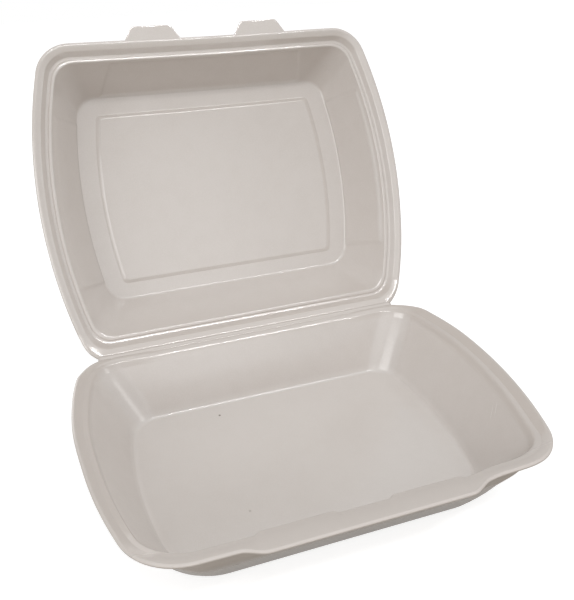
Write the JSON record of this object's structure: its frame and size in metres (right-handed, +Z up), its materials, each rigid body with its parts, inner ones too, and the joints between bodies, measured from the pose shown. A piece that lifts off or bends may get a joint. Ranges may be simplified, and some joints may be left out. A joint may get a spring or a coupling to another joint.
{
  "type": "foam clamshell container",
  "caption": "Open hinged-lid foam food box: deep tray with bowed sides and front lip, domed lid with tuck-in tabs.",
  "frame": {"origin": "middle of the tray's flat foot, on the table", "axes": "+X along the hinge, +Y from the front lip to the hinge, +Z up out of the tray"},
  "size_m": [0.24, 0.2868, 0.224],
  "materials": {
    "foam": "satin"
  },
  "bodies": {
    "tray": {"tray": "foam"},
    "lid": {"lid": "foam"}
  },
  "joints": [
    {"name": "lid_hinge", "type": "hinge", "parent": "tray", "child": "lid", "pos_m": [0, 0.0852, 0.0411], "axis": [-1, 0, 0], "range_deg": [-111, 64]}
  ]
}
